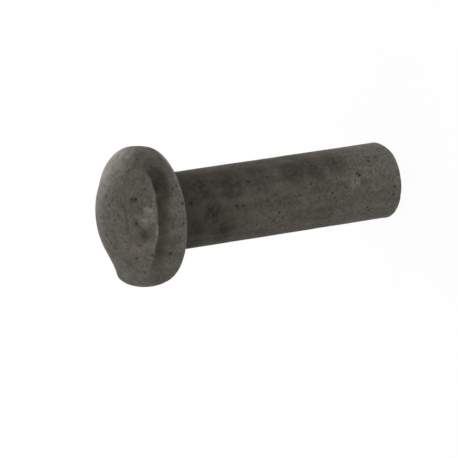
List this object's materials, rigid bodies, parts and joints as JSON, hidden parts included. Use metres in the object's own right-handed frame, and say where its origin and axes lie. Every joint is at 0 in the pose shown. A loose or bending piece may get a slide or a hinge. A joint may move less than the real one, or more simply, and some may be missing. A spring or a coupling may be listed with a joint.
{
  "type": "solid rivet",
  "caption": "Solid round-head steel rivet with a spherical crown on a bulged rim, a plain round shank and a cut tail, for fastening plates together for good.",
  "frame": {"origin": "centre of the flat cut end of the tail, on the shank's axis", "axes": "+Z along the shank from the tail to the head; +X towards the side of the tail that the shear rolled over"},
  "size_m": [0.0106, 0.0106, 0.0242],
  "materials": {
    "steel": "dull, dark plain steel, cloudy and lightly pitted"
  },
  "bodies": {
    "root": {"rivet": "steel"}
  },
  "joints": []
}
